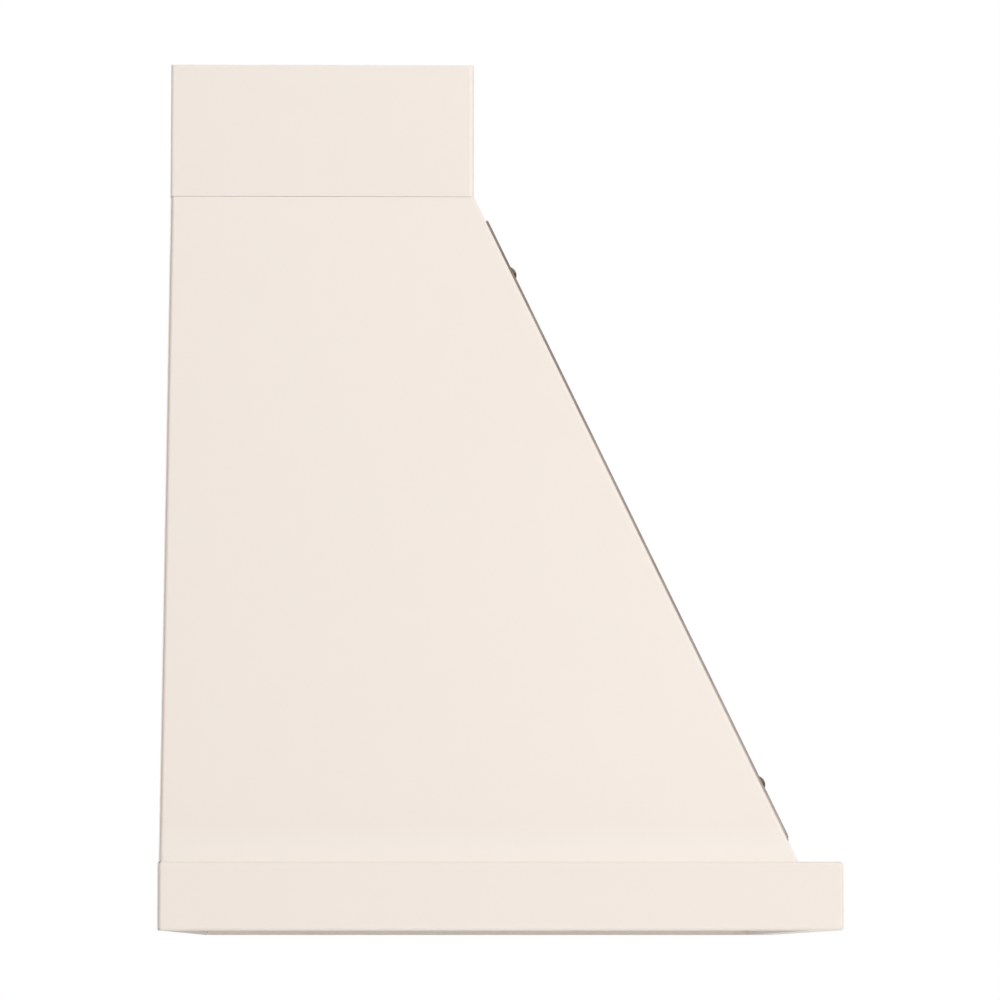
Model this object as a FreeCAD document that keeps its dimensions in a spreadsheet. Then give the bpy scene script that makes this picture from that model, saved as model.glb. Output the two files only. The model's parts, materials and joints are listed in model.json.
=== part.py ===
"""Wall-hung chimney range hood, in millimetres.

The origin is on the wall plane, at the middle of the bottom rim.
+Z is up, -Y points away from the wall, and +X is to the right as seen from in front.
"""
import FreeCAD, Part
import math
import operator
import os
import Sketcher

DIMENSIONS = {
    # Envelope
    "hood_width": 914.0,
    "hood_depth": 600.0,
    "skirt_height": 60.0,
    "body_height": 609.0,
    "chimney_height": 122.0,
    "chimney_width": 632.0,
    "chimney_depth": 277.5,
    "front_ledge": 38.0,
    "side_ledge": 18.0,
    # Folded sheet
    "sheet": 1.2,
    "bend_radius": 3.0,
    "chimney_bend": 4.5,
    "lap_flange": 14.0,
    "return_flange": 14.0,
    "corner_seam": 16.0,
    "shadow_gap": 0.3,
    "overrun": 2.0,
    "seat_gap": 0.3,
    "close_fit": 0.1,
    # Rim of the skirt
    "rim_width": 28.0,
    "liner_drop": 26.0,
    "seat_flange": 12.0,
    # Back panel and wall fixings
    "panel_inset": 3.0,
    "wall_hole_radius": 4.25,
    "wall_hole_span": 406.4,
    "wall_hole_low": 150.0,
    "wall_hole_rise": 400.0,
    # Top deck
    "deck_sheet": 1.5,
    "deck_upstand": 25.0,
    "deck_notch": 5.0,
    "deck_seam": 100.0,
    "gland_side": 215.0,
    "gland_depth": 70.0,
    # Chimney bracket
    "bracket_sheet": 2.0,
    "bracket_height": 28.0,
    "bracket_drop": 40.0,
    "bracket_ear": 22.0,
    "bracket_hole_radius": 3.0,
    "bracket_hole_span": 406.4,
    # Straps and rivets
    "strap_width": 38.0,
    "strap_thickness": 2.5,
    "strap_inset": 6.0,
    "strap_foot_margin": 25.5,
    "strap_head_margin": 23.0,
    "strap_corner": 3.0,
    "strap_edge": 0.5,
    "rivet_foot_margin": 57.5,
    "rivet_head_margin": 51.0,
    "rivet_radius": 6.8,
    "rivet_height": 3.8,
    "rivet_shank": 3.0,
    "rivet_tail_radius": 5.0,
    "rivet_tail": 1.5,
    # Stainless liner
    "liner_sheet": 1.0,
    "liner_upstand": 16.0,
    "front_shelf": 150.0,
    "lead_lane": 8.5,
    "lamp_spread": 250.0,
    # Baffle filters
    "filter_side": 21.0,
    "filter_height": 22.0,
    "filter_rear": 70.0,
    "filter_mullion": 12.0,
    "filter_gap": 1.5,
    "filter_rear_gap": 5.0,
    "filter_sheet": 1.0,
    "filter_lip": 14.0,
    "filter_front_lip": 30.0,
    "pivot_setback": 6.0,
    "pivot_rise": 7.0,
    "pivot_radius": 2.5,
    "pivot_fit": 0.06,
    "pivot_reach": 4.0,
    "ear_sheet": 1.5,
    "ear_width": 14.0,
    "ear_height": 14.0,
    "baffle_margin": 30.0,
    "baffle_width": 24.0,
    "baffle_flare": 2.0,
    "baffle_height": 9.5,
    "baffle_sheet": 0.8,
    "baffle_hold": 9.0,
    "handle_span": 84.0,
    "handle_drop": 20.0,
    "handle_radius": 2.5,
    "handle_bend": 9.0,
    "handle_setback": 15.0,
    "catch_width": 26.0,
    "catch_sheet": 0.8,
    "catch_height": 15.0,
    "catch_foot": 12.0,
    "catch_bead": 1.0,
    # Lamps
    "lamp_clearance": 9.0,
    "lamp_flange": 5.0,
    "lamp_flange_thickness": 2.2,
    "lamp_sleeve": 5.0,
    "lamp_wall": 1.6,
    "lens_lip": 2.0,
    "lens_lip_thickness": 0.8,
    "lens_thickness": 2.4,
    "fin_thickness": 2.0,
    "fin_pitch": 4.5,
    # Controls
    "plate_width": 168.0,
    "plate_depth": 38.0,
    "plate_sheet": 1.5,
    "plate_corner": 5.0,
    "switch_width": 138.0,
    "switch_depth": 26.0,
    "switch_height": 24.0,
    "switch_corner": 2.0,
    "switch_bore": 12.0,
    "button_pitch": 26.0,
    "button_radius": 7.6,
    "button_fit": 0.4,
    "button_proud": 4.0,
    "button_flange": 9.3,
    "button_flange_thickness": 2.0,
    "button_crown": 0.8,
    # Duct collar and damper
    "collar_radius": 75.0,
    "collar_wall": 1.2,
    "collar_height": 52.0,
    "collar_flange": 19.0,
    "damper_level": 24.0,
    "damper_sheet": 1.0,
    "damper_gap": 1.2,
    "damper_lip": 3.0,
    "damper_rest": 0.3,
    "rod_radius": 2.5,
    "rod_fit": 0.1,
    "knuckle_wall": 1.4,
    "knuckle_length": 27.0,
    "knuckle_pitch": 31.0,
    "flap_gap": 1.2,
    # Blower
    "blower_drop": 190.0,
    "blower_clearance": 26.5,
    "blower_sheet": 1.0,
    "scroll_width": 172.0,
    "scroll_step": 12.0,
    "tongue_offset": 40.0,
    "transition_height": 70.0,
    "inlet_overlap": 3.0,
    "inlet_lip": 8.0,
    "fan_clearance": 4.0,
    "blade_inset": 0.8,
    "blade_depth": 15.0,
    "fan_length": 150.0,
    "fan_ring": 6.0,
    "fan_disc": 2.0,
    "fan_disc_reach": 4.0,
    "hub_radius": 13.0,
    "hub_length": 26.0,
    "blade_sheet": 1.2,
    "blade_curve": 13.0,
    # Motor
    "shaft_radius": 5.0,
    "shaft_fit": 0.05,
    "shaft_grip": 30.0,
    "shaft_end_gap": 1.0,
    "motor_radius": 46.0,
    "motor_front": 20.0,
    "motor_tail": 14.0,
    "motor_edge": 4.0,
    "spider_sheet": 3.0,
    "spider_ring": 7.0,
    "spider_arm": 16.0,
    "spider_foot": 16.0,
    "capacitor_radius": 17.0,
    "capacitor_length": 58.0,
    "capacitor_edge": 2.5,
    # Wiring
    "terminal_side": 165.0,
    "terminal_width": 130.0,
    "terminal_drop": 240.0,
    "terminal_height": 90.0,
    "terminal_depth": 48.0,
    "terminal_wall": 2.0,
    "terminal_corner": 4.0,
    "gland_radius": 9.0,
    "gland_collar": 14.0,
    "gland_collar_thickness": 6.0,
    "gland_bore": 5.0,
    "gland_height": 16.0,
    "gland_nut": 5.0,
    "lead_radius": 2.5,
    "lead_bend": 15.0,
    "lead_margin": 12.0,
    "lead_start": 40.0,
    "lead_back": 10.0,
    "lead_rise": 110.0,
    # Screws
    "screw_radius": 2.0,
    "screw_fit": 0.2,
    "screw_head": 4.2,
    "screw_head_height": 2.6,
    "screw_crown": 1.0,
    "recess_width": 1.0,
    "recess_length": 4.4,
    "recess_depth": 1.3,
    "screw_edge": 8.0,
    "screw_grip": 6.0,
    "deck_screw_span": 220.0,
    "collar_screw_ring": 85.0,
    "liner_screw_span": 300.0,
    # Counts
    "blade_count": 36,
    "spider_arms": 3,
}
LOWER_BAFFLES = 7
FIN_CORE_SHARE = 0.6
RIM_SCREW_SHARES = (0.4, 0.8)
LAMP_FINS = 5
CORNER_SHARE = math.sqrt(0.5)
BEAD_SHARE = 0.7
KNUCKLE_SHARES = (-1.5, 0.5)
SCROLL_STEPS_SHARE = 3.25
SCROLL_RADII_SHARE = 1.5
BLADE_SWEEP = math.radians(7.5)
SIDES = {"left": -1, "right": 1}
FILTERS = {"left": -1, "middle": 0, "right": 1}
BUTTONS = {"off": -2, "low": -1, "medium": 0, "high": 1, "light": 2}

doc = FreeCAD.newDocument("range_hood")
sheet = doc.addObject("Spreadsheet::Sheet", "dims")
for row, (alias, number) in enumerate(DIMENSIONS.items(), start=1):
    sheet.set(f"A{row}", alias)
    sheet.set(f"B{row}", str(number))
    sheet.setAlias(f"B{row}", alias)
doc.recompute()
nodes = []


class Size:
    """A sheet value, or a sum made of such values: its expression and its value now."""

    def __init__(self, text, value):
        self.text = text
        self.value = value

    def __neg__(self):
        return Size(f"(-{self.text})", -self.value)

    def __add__(self, other):
        return combined(self, "+", other)

    def __radd__(self, other):
        return combined(other, "+", self)

    def __sub__(self, other):
        return combined(self, "-", other)

    def __rsub__(self, other):
        return combined(other, "-", self)

    def __mul__(self, other):
        return combined(self, "*", other)

    def __rmul__(self, other):
        return combined(other, "*", self)

    def __truediv__(self, other):
        return combined(self, "/", other)


OPERATIONS = {"+": operator.add, "-": operator.sub, "*": operator.mul, "/": operator.truediv}


def as_size(value):
    if isinstance(value, Size):
        return value
    return Size(f"({float(value)!r})", float(value))


def combined(first, sign, second):
    first = as_size(first)
    second = as_size(second)
    return Size(f"({first.text} {sign} {second.text})", OPERATIONS[sign](first.value, second.value))


def root(size):
    return Size(f"sqrt({size.text})", math.sqrt(size.value))


def ordered(first, second):
    return (first, second) if as_size(first).value < as_size(second).value else (second, first)


def arc_sine(ratio):
    return Size(f"asin({ratio.text})", math.degrees(math.asin(ratio.value)))


def arc_tangent(ratio):
    return Size(f"atan({ratio.text})", math.degrees(math.atan(ratio.value)))


def square(size):
    return size * size


class Dimensions:
    """Gives each alias of the sheet as a Size."""

    def __getattr__(self, alias):
        return Size(f"dims.{alias}", float(sheet.get(alias)))


d = Dimensions()
TURNS = {
    "X": FreeCAD.Rotation(FreeCAD.Vector(1, 1, 1), 120),
    "Y": FreeCAD.Rotation(FreeCAD.Vector(1, 0, 0), 90),
    "Z": FreeCAD.Rotation(),
}


def bind(piece, **sizes):
    for name, size in sizes.items():
        piece.setExpression(name, as_size(size).text)


def put(piece, at, turn=TURNS["Z"]):
    """Places a piece at a point whose three coordinates follow the sheet."""
    corner = FreeCAD.Vector(*[as_size(size).value for size in at])
    piece.Placement = FreeCAD.Placement(corner, turn)
    for axis, size in zip("xyz", at):
        piece.setExpression(f"Placement.Base.{axis}", as_size(size).text)
    return piece


def put_along(piece, axis, across, low, high):
    """Places a piece whose own Z runs along an axis; along Y it runs back from the high end."""
    places = {"X": (low, *across), "Y": (across[0], high, across[1]), "Z": (*across, low)}
    return put(piece, places[axis], TURNS[axis])


def box(low, high):
    piece = doc.addObject("Part::Box", "box")
    spans = [as_size(end) - start for start, end in zip(low, high)]
    bind(piece, Length=spans[0], Width=spans[1], Height=spans[2])
    return put(piece, low)


def cylinder(axis, across, low, high, radius):
    piece = doc.addObject("Part::Cylinder", "cylinder")
    bind(piece, Radius=radius, Height=as_size(high) - low)
    return put_along(piece, axis, across, low, high)


def cut(base, *tools):
    for tool in tools:
        result = doc.addObject("Part::Cut", "cut")
        result.Base = base
        result.Tool = tool
        base = result
    return base


def common(first, second):
    result = doc.addObject("Part::Common", "common")
    result.Base = first
    result.Tool = second
    return result


def fuse(*pieces):
    result = doc.addObject("Part::MultiFuse", "fuse")
    result.Shapes = list(pieces)
    return result


def group(pieces):
    result = doc.addObject("Part::Compound", "group")
    result.Links = list(pieces)
    return result


def node(name, piece):
    """Marks a piece as a finished sub-part under its name."""
    piece.Label = name
    nodes.append(piece)
    return piece


def new_body(name):
    return doc.addObject("PartDesign::Body", name)


def vector(point):
    return FreeCAD.Vector(as_size(point[0]).value, as_size(point[1]).value, 0)


def sketch_edge(start, end, bend):
    """A line, or the short arc of a radius that turns left or right, with its start and end marks."""
    if not bend:
        return Part.LineSegment(start, end), (1, 2)
    radius, turn = bend
    chord = end - start
    left = FreeCAD.Vector(-chord.y, chord.x, 0).normalize()
    rise = math.sqrt(max(radius.value ** 2 - (chord.Length / 2) ** 2, 0))
    centre = (start + end) / 2 + left * (rise if turn == "left" else -rise)
    circle = Part.Circle(centre, FreeCAD.Vector(0, 0, 1), radius.value)
    angles = [math.atan2(point.y - centre.y, point.x - centre.x) for point in (start, end)]
    if turn == "left":
        return Part.ArcOfCircle(circle, angles[0], angles[1]), (1, 2)
    return Part.ArcOfCircle(circle, angles[1], angles[0]), (2, 1)


def fix_point(sketch, edge, mark, point):
    for kind, axis, size in (("DistanceX", -2, point[0]), ("DistanceY", -1, point[1])):
        if not isinstance(size, Size):
            sketch.addConstraint(Sketcher.Constraint("PointOnObject", edge, mark, axis))
            continue
        number = sketch.addConstraint(Sketcher.Constraint(kind, -1, 1, edge, mark, size.value))
        sketch.setExpression(f"Constraints[{number}]", size.text)


def add_outline(sketch, outline):
    """Draws a closed outline; a point's third and fourth entries bend the edge that arrives at it."""
    edges = []
    count = len(outline)
    for index in range(count):
        start = outline[index]
        end = outline[(index + 1) % count]
        geometry, marks = sketch_edge(vector(start), vector(end), end[2:])
        edges.append((sketch.addGeometry(geometry), marks, end[2:]))
    for index, (edge, marks, bend) in enumerate(edges):
        after, after_marks, _ = edges[(index + 1) % count]
        sketch.addConstraint(Sketcher.Constraint("Coincident", edge, marks[1], after, after_marks[0]))
        fix_point(sketch, edge, marks[0], outline[index])
        if bend:
            number = sketch.addConstraint(Sketcher.Constraint("Radius", edge, bend[0].value))
            sketch.setExpression(f"Constraints[{number}]", bend[0].text)


def new_sketch(body, role, *outlines, level=0):
    plane = [item for item in body.Origin.OriginFeatures if item.Role == role][0]
    sketch = body.newObject("Sketcher::SketchObject", "outline")
    sketch.AttachmentSupport = [(plane, "")]
    sketch.MapMode = "FlatFace"
    sketch.setExpression("AttachmentOffset.Base.z", as_size(level).text)
    for outline in outlines:
        add_outline(sketch, outline)
    return sketch


def pad(body, outline, length):
    feature = body.newObject("PartDesign::Pad", "pad")
    feature.Profile = new_sketch(body, "XY_Plane", outline)
    bind(feature, Length=length)
    doc.recompute()
    return body


def prism(axis, outline, low, high, across=(0, 0)):
    """An outline across an axis, drawn out along it from low to high."""
    body = pad(new_body("prism"), outline, as_size(high) - low)
    return put_along(body, axis, across, low, high)


def revolved(*outlines):
    """A body of closed profiles of (radius, height), turned about its own Z."""
    body = new_body("revolved")
    sketch = new_sketch(body, "XZ_Plane", *outlines)
    feature = body.newObject("PartDesign::Revolution", "revolution")
    feature.Profile = sketch
    feature.ReferenceAxis = (sketch, ["V_Axis"])
    feature.Angle = 360
    doc.recompute()
    return body


def turned(axis, across, level, outline):
    """A closed profile of (radius, height) turned about an axis."""
    return put_along(revolved(outline), axis, across, level, level)


def polar_pattern(body, outline, low, high, count):
    """Adds an outline, drawn out along the body's Z, as many times as count round that axis."""
    feature = body.newObject("PartDesign::Pad", "pad")
    feature.Profile = new_sketch(body, "XY_Plane", outline, level=low)
    bind(feature, Length=as_size(high) - low)
    doc.recompute()
    pattern = body.newObject("PartDesign::PolarPattern", "pattern")
    pattern.Originals = [feature]
    pattern.Axis = (feature.Profile[0], ["N_Axis"])
    pattern.Angle = 360
    bind(pattern, Occurrences=count)
    body.Tip = pattern
    doc.recompute()
    return body


def every(edge):
    return True


def upright(edge):
    first, last = edge.Vertexes[0].Point, edge.Vertexes[-1].Point
    return math.hypot(first.x - last.x, first.y - last.y) < abs(first.z - last.z)


def climbing(edge):
    """An edge that climbs the tapered form, whose own Y axis is up."""
    first, last = edge.Vertexes[0].Point, edge.Vertexes[-1].Point
    return math.hypot(first.x - last.x, first.z - last.z) < abs(first.y - last.y)


def dressed(body, kind, chosen, **sizes):
    base = body.Tip
    names = [f"Edge{number}" for number, edge in enumerate(base.Shape.Edges, start=1) if chosen(edge)]
    feature = body.newObject(kind, "dress_up")
    feature.Base = (base, names)
    bind(feature, **sizes)
    doc.recompute()
    return body


def rounded(body, radius, chosen=every):
    return dressed(body, "PartDesign::Fillet", chosen, Radius=radius)


def bevelled(body, size, chosen=every):
    return dressed(body, "PartDesign::Chamfer", chosen, Size=size)


def block(low, high):
    """A box between two corners as a body, ready for rounding."""
    body = new_body("block")
    feature = body.newObject("PartDesign::AdditiveBox", "box")
    spans = [as_size(end) - start for start, end in zip(low, high)]
    bind(feature, Length=spans[0], Width=spans[1], Height=spans[2])
    doc.recompute()
    return put(body, low)


# Sizes that several sub-parts share
half = d.hood_width / 2
body_top = d.skirt_height + d.body_height
hood_top = body_top + d.chimney_height
base_half = half - d.side_ledge
top_half = d.chimney_width / 2
base_depth = d.hood_depth - d.front_ledge
side_run = base_half - top_half
front_run = base_depth - d.chimney_depth
side_length = root(square(side_run) + square(d.body_height))
front_length = root(square(front_run) + square(d.body_height))
liner_level = d.skirt_height - d.liner_drop
liner_top = liner_level + d.liner_sheet
deck_top = body_top + d.deck_sheet
duct_place = -d.chimney_depth / 2
blower_level = body_top - d.blower_drop
terminal_level = body_top - d.terminal_drop


def half_at(rise):
    """Half the body's outer width at a rise above the skirt."""
    return base_half - side_run / d.body_height * rise


def depth_at(rise):
    """The body's outer depth at a rise above the skirt."""
    return base_depth - front_run / d.body_height * rise


def frustum(low, high, half_inset, back, front_inset):
    """The body's tapered form between two rises, drawn in at the sides, back and front."""
    body = new_body("frustum")
    wedge = body.newObject("PartDesign::AdditiveWedge", "wedge")
    bind(wedge, Xmin=half_inset - half_at(low), Xmax=half_at(low) - half_inset)
    bind(wedge, X2min=half_inset - half_at(high), X2max=half_at(high) - half_inset)
    bind(wedge, Ymin=0, Ymax=as_size(high) - low)
    bind(wedge, Zmin=back, Zmax=depth_at(low) - front_inset)
    bind(wedge, Z2min=back, Z2max=depth_at(high) - front_inset)
    doc.recompute()
    return put(body, (0, 0, d.skirt_height + low), TURNS["Y"])


def screw(axis_point, seat, up):
    """A pan-head screw with its head on a seat level, its shank running up or down, and a cross recess."""
    crown = d.screw_head - d.screw_crown
    sign, turn = (1, "left") if up else (-1, "right")
    head = [
        (0, -sign * d.screw_head_height),
        (crown, -sign * d.screw_head_height),
        (d.screw_head, -sign * (d.screw_head_height - d.screw_crown), d.screw_crown, turn),
        (d.screw_head, 0),
        (d.screw_radius, 0),
        (d.screw_radius, sign * d.screw_grip),
        (0, sign * d.screw_grip),
    ]
    face = seat - sign * d.screw_head_height
    low, high = ordered(face - sign * d.overrun, face + sign * d.recess_depth)
    long = d.recess_length / 2
    thin = d.recess_width / 2
    x, y = axis_point
    slots = [
        box((x - wide, y - deep, low), (x + wide, y + deep, high))
        for wide, deep in ((long, thin), (thin, long))
    ]
    return cut(turned("Z", axis_point, seat, head), *slots)


def screw_hole(axis_point, low, high):
    return cylinder("Z", axis_point, low - d.overrun, high + d.overrun, d.screw_radius + d.screw_fit)


# Places of the screws
deck_screw_places = [(side * d.deck_screw_span, d.screw_edge - d.chimney_depth) for side in (-1, 0, 1)]
deck_screw_places += [(side * (top_half - d.screw_edge), duct_place) for side in SIDES.values()]
collar_screw_places = [
    (x_sign * CORNER_SHARE * d.collar_screw_ring, duct_place + y_sign * CORNER_SHARE * d.collar_screw_ring)
    for x_sign in (-1, 1) for y_sign in (-1, 1)
]
rim_inner = half - d.rim_width
rim_front = d.hood_depth - d.rim_width
rail_screw_places = [
    (side * d.liner_screw_span, -2 * d.sheet - d.seat_flange / 2) for side in SIDES.values()
]
rim_screw_places = [
    (side * d.liner_screw_span, d.seat_flange / 2 - rim_front) for side in SIDES.values()
]
rim_screw_places += [
    (side * (rim_inner - d.seat_flange / 2), -share * rim_front)
    for side in SIDES.values() for share in RIM_SCREW_SHARES
]


# Back panel with its wall-screw holes
def build_back_panel():
    wide = half - d.panel_inset
    base = base_half - d.panel_inset
    top = top_half - d.panel_inset
    outline = [
        (-wide, 0), (wide, 0), (wide, d.skirt_height), (base, d.skirt_height), (top, body_top),
        (-top, body_top), (-base, d.skirt_height), (-wide, d.skirt_height),
    ]
    panel = prism("Y", outline, -d.sheet, 0)
    holes = [
        cylinder("Y", (side * d.wall_hole_span / 2, d.wall_hole_low + count * d.wall_hole_rise),
                 -d.sheet - d.overrun, d.overrun, d.wall_hole_radius)
        for side in SIDES.values() for count in (0, 1)
    ]
    node("back_panel", cut(panel, *holes))


# Skirt band with its ledge, hollow rim and seat for the liner
def build_skirt():
    inner_bend = d.bend_radius - d.sheet
    outer = rounded(block((-half, -d.hood_depth, 0), (half, -d.sheet, d.skirt_height)), d.bend_radius)
    recess = box(
        (-rim_inner, -rim_front, -d.overrun), (rim_inner, d.overrun, liner_level - d.sheet))
    seat = box(
        (d.seat_flange - rim_inner, d.seat_flange - rim_front, 0),
        (rim_inner - d.seat_flange, d.overrun, liner_level + d.overrun))
    upper = rounded(block(
        (d.sheet - half, d.sheet - d.hood_depth, liner_level),
        (half - d.sheet, -2 * d.sheet, d.skirt_height - d.sheet)), inner_bend)
    rim_hollow = rounded(block(
        (d.sheet - half, d.sheet - d.hood_depth, d.sheet),
        (half - d.sheet, -2 * d.sheet, liner_level + 2 * d.bend_radius)), inner_bend)
    rim_core = box(
        (-rim_inner - d.sheet, -rim_front - d.sheet, 0), (rim_inner + d.sheet, 0, d.skirt_height))
    ledge = box(
        (d.lap_flange - base_half, d.lap_flange - base_depth, d.skirt_height - d.sheet - d.overrun),
        (base_half - d.lap_flange, d.overrun, d.skirt_height + d.overrun))
    back = box(
        (d.return_flange - half, -2 * d.sheet - d.overrun, liner_level),
        (half - d.return_flange, 0, d.skirt_height - d.sheet))
    holes = [screw_hole(place, liner_level - d.sheet, liner_level) for place in rim_screw_places]
    node("skirt_band", cut(outer, recess, seat, upper, cut(rim_hollow, rim_core), ledge, back, *holes))


# Rail that closes the back of the rim and carries the liner's rear edge
def build_rear_rail():
    wide = rim_inner - d.seat_gap
    web = box((-wide, -2 * d.sheet, 0), (wide, -d.sheet, liner_level - d.sheet))
    shelf_half = wide - d.seat_flange
    shelf = box(
        (-shelf_half, -2 * d.sheet - d.seat_flange, liner_level - d.sheet),
        (shelf_half, -d.sheet, liner_level))
    holes = [screw_hole(place, liner_level - d.sheet, liner_level) for place in rail_screw_places]
    node("rear_rail", cut(fuse(web, shelf), *holes))


# Tapered body of three panels, seamed under the straps
def front_place(across, up, out):
    """A point of the sloping front: across, up the slope from the skirt, and out from the sheet."""
    lean = front_run / front_length
    steep = d.body_height / front_length
    return (across, up * lean - out * steep - base_depth, d.skirt_height + up * steep + out * lean)


def put_on_front(piece, across, up, out):
    tilt = arc_tangent(d.body_height / front_run)
    put(piece, front_place(across, up, out), FreeCAD.Rotation(FreeCAD.Vector(1, 0, 0), tilt.value))
    piece.setExpression("Placement.Rotation.Angle", tilt.text)
    return piece


def edge_place(side, along, inward):
    """A place on the front's plane: along its side edge from the skirt, and inward from that edge."""
    edge_length = root(square(side_run) + square(front_length))
    rise = front_length / edge_length
    draw = side_run / edge_length
    return (side * (base_half - along * draw - inward * rise), along * rise - inward * draw)


def rivet_places():
    edge_length = root(square(side_run) + square(front_length))
    middle = d.strap_inset + d.strap_width / 2
    low = d.strap_foot_margin + d.rivet_foot_margin
    high = edge_length - d.strap_head_margin - d.rivet_head_margin
    return [edge_place(side, along, middle) for side in SIDES.values() for along in (low, high)]


def rivet_hole(place, out):
    hole = doc.addObject("Part::Cylinder", "hole")
    bind(hole, Radius=d.rivet_shank + d.close_fit, Height=out + 2 * d.overrun + d.sheet)
    return put_on_front(hole, *place, -d.sheet - d.overrun)


def build_body_panels():
    over = d.overrun
    rise = d.body_height
    outer = rounded(frustum(0, rise, 0, d.sheet, 0), d.bend_radius, climbing)
    inner = rounded(frustum(
        d.sheet, rise - d.sheet, d.sheet * side_length / rise, 2 * d.sheet, d.sheet * front_length / rise),
        d.bend_radius - d.sheet, climbing)
    bottom = box(
        (d.lap_flange - base_half, d.lap_flange - base_depth, d.skirt_height - over),
        (base_half - d.lap_flange, over, d.skirt_height + d.sheet + over))
    top = box(
        (d.lap_flange - top_half, d.lap_flange - d.chimney_depth, body_top - d.sheet - over),
        (top_half - d.lap_flange, over, body_top + over))
    back = common(
        frustum(-over, rise + over, d.return_flange, 0, 0),
        box((-half, -2 * d.sheet - over, 0), (half, 0, hood_top)))
    deck_holes = [screw_hole(place, body_top - d.sheet, body_top) for place in deck_screw_places]
    shell = cut(outer, inner, bottom, top, back, *deck_holes)
    middle = frustum(-over, rise + over, d.corner_seam, 0, -over)
    holes = [rivet_hole(place, 0) for place in rivet_places()]
    node("front_panel", cut(common(shell, middle), *holes))
    for name, side in SIDES.items():
        low, high = ordered(0, side * half)
        flank = box((low, -d.hood_depth, 0), (high, 0, hood_top))
        node(f"{name}_side_panel", cut(common(shell, flank), middle))


# Straps on the sloping front, with domed rivets through strap and sheet
def build_straps():
    edge_length = root(square(side_run) + square(front_length))
    near = d.strap_inset
    far = d.strap_inset + d.strap_width
    foot = d.strap_foot_margin
    head = edge_length - d.strap_head_margin
    holes = [rivet_hole(place, d.strap_thickness) for place in rivet_places()]
    for index, (name, side) in enumerate(SIDES.items()):
        outline = [
            edge_place(side, foot, near), edge_place(side, head, near),
            edge_place(side, head, far), edge_place(side, foot, far),
        ]
        strap = pad(new_body("strap"), outline, d.strap_thickness)
        rounded(strap, d.strap_corner, upright)
        bevelled(strap, d.strap_edge, lambda edge: edge.BoundBox.ZMin > d.strap_thickness.value / 2)
        put_on_front(strap, 0, 0, 0)
        node(f"{name}_strap", cut(strap, *holes[2 * index:2 * index + 2]))
    node("strap_rivets", group([rivet(place) for place in rivet_places()]))


def rivet(place):
    dome_radius = (square(d.rivet_radius) + square(d.rivet_height)) / (2 * d.rivet_height)
    drop = dome_radius - d.rivet_height
    dome = doc.addObject("Part::Sphere", "dome")
    bind(dome, Radius=dome_radius, Angle1=arc_sine(drop / dome_radius))
    put_on_front(dome, *place, d.strap_thickness - drop)
    shank = doc.addObject("Part::Cylinder", "shank")
    bind(shank, Radius=d.rivet_shank, Height=d.strap_thickness + d.sheet)
    put_on_front(shank, *place, -d.sheet)
    tail = doc.addObject("Part::Cylinder", "tail")
    bind(tail, Radius=d.rivet_tail_radius, Height=d.rivet_tail)
    put_on_front(tail, *place, -d.sheet - d.rivet_tail)
    return fuse(dome, shank, tail)


# Top deck of three plates on the body's top flange, joined by welded flanges inside the chimney cover
def build_top_deck():
    wide = top_half - d.sheet - d.seat_gap
    front = d.chimney_depth - d.sheet - d.seat_gap
    back = d.sheet + d.seat_gap
    corner = d.chimney_bend - d.sheet - d.seat_gap
    plate = rounded(block((-wide, -front, body_top), (wide, -back, deck_top)), corner, upright)
    outlet = cylinder(
        "Z", (0, duct_place), body_top - d.overrun, deck_top + d.overrun, d.collar_radius - d.collar_wall)
    gland = cylinder(
        "Z", (d.gland_side, -d.gland_depth), body_top - d.overrun, deck_top + d.overrun,
        d.gland_radius + d.seat_gap)
    holes = [screw_hole(place, body_top, deck_top) for place in deck_screw_places + collar_screw_places]
    drilled = cut(plate, outlet, gland, *holes)
    seams = (-wide, -d.deck_seam, d.deck_seam, wide)
    node("top_deck", group([
        common(drilled, box((start, -front, body_top), (stop, -back, deck_top)))
        for start, stop in zip(seams, seams[1:])
    ]))
    high = body_top + d.deck_upstand
    end = wide - d.deck_notch
    flanges = [
        box((-end, low, deck_top), (end, low + d.deck_sheet, high)) for low in (-front, -back - d.deck_sheet)
    ]
    for side in SIDES.values():
        start, stop = ordered(side * (wide - d.deck_sheet), side * wide)
        flanges.append(box((start, d.deck_notch - front, deck_top), (stop, -back - d.deck_notch, high)))
    node("deck_flanges", group(flanges))
    screws = [screw(place, deck_top, up=False) for place in deck_screw_places]
    screws += [screw(place, deck_top + d.collar_wall, up=False) for place in collar_screw_places]
    node("deck_screws", group(screws))


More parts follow.
